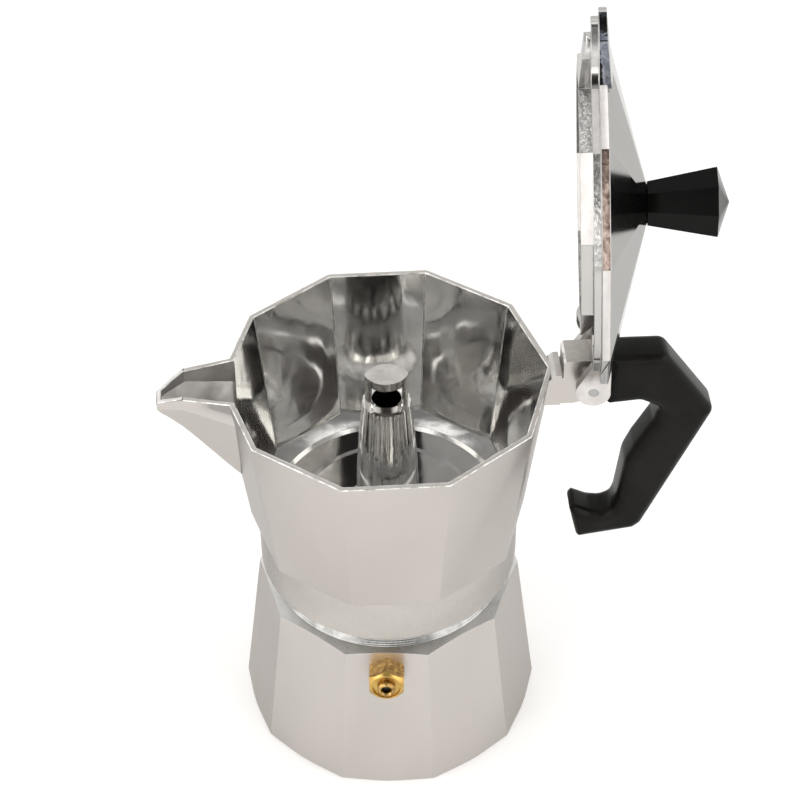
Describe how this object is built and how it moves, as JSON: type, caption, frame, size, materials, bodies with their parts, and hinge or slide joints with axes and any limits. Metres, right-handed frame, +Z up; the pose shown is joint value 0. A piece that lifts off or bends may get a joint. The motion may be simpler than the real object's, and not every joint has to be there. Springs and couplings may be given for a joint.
{
  "type": "moka pot",
  "caption": "Faceted aluminium stovetop coffee maker with a screwed-on collector, hinged lid, spring-loaded safety valve and angular side handle.",
  "frame": {"origin": "on the pot's axis at the underside of the boiler, where it stands on the hob", "axes": "+Z up along the pot's axis, +X towards the handle, -X towards the spout"},
  "size_m": [0.1564, 0.0908, 0.2431],
  "materials": {
    "cast_aluminium": "satin, tumbled cast surface",
    "polished_aluminium": "polished",
    "spun_aluminium": "smooth pressed sheet",
    "valve_brass": "turned, satin",
    "valve_steel": "smooth",
    "pin_steel": "smooth",
    "seal_rubber": "matt silicone",
    "handle_black": "satin",
    "knob_black": "glossy"
  },
  "bodies": {
    "base": {"boiler": "cast_aluminium", "valve_body": "valve_brass", "valve_retainer": "valve_brass", "valve_spring": "valve_steel", "funnel_cup": "spun_aluminium", "funnel_tube": "spun_aluminium", "funnel_plate": "spun_aluminium"},
    "seal": {"gasket": "seal_rubber", "filter_plate": "spun_aluminium"},
    "jug": {"collector": "cast_aluminium", "coffee_column": "polished_aluminium", "hinge_pin": "pin_steel", "handle": "handle_black", "handle_screw": "pin_steel"},
    "cover": {"lid": "polished_aluminium", "knob": "knob_black", "knob_insert": "valve_brass", "knob_screw": "pin_steel", "knob_washer": "pin_steel"},
    "relief": {"valve_piston": "valve_steel"}
  },
  "joints": [
    {"name": "collector_rise", "type": "slide", "parent": "base", "child": "seal", "axis": [0, 0, 1], "range_m": [0, 0.008]},
    {"name": "collector_unscrew", "type": "hinge", "parent": "seal", "child": "jug", "pos_m": [0, 0, 0.064], "axis": [0, 0, 1], "range_deg": [0, 720]},
    {"name": "lid_hinge", "type": "hinge", "parent": "jug", "child": "cover", "pos_m": [0.057, 0, 0.1257], "axis": [0.0489, 0.9971, -0.0588], "range_deg": [-87, 0]},
    {"name": "valve_lift", "type": "slide", "parent": "base", "child": "relief", "axis": [-0.0736, -0.9906, 0.1151], "range_m": [0, 0.0008], "stiffness_N_per_m": 2000, "springref_m": -0.003, "deforming": ["valve_spring"]}
  ],
  "couplings": [
    {"joint": "collector_rise", "follows": "collector_unscrew", "m_per_rad": 0.00063662}
  ]
}
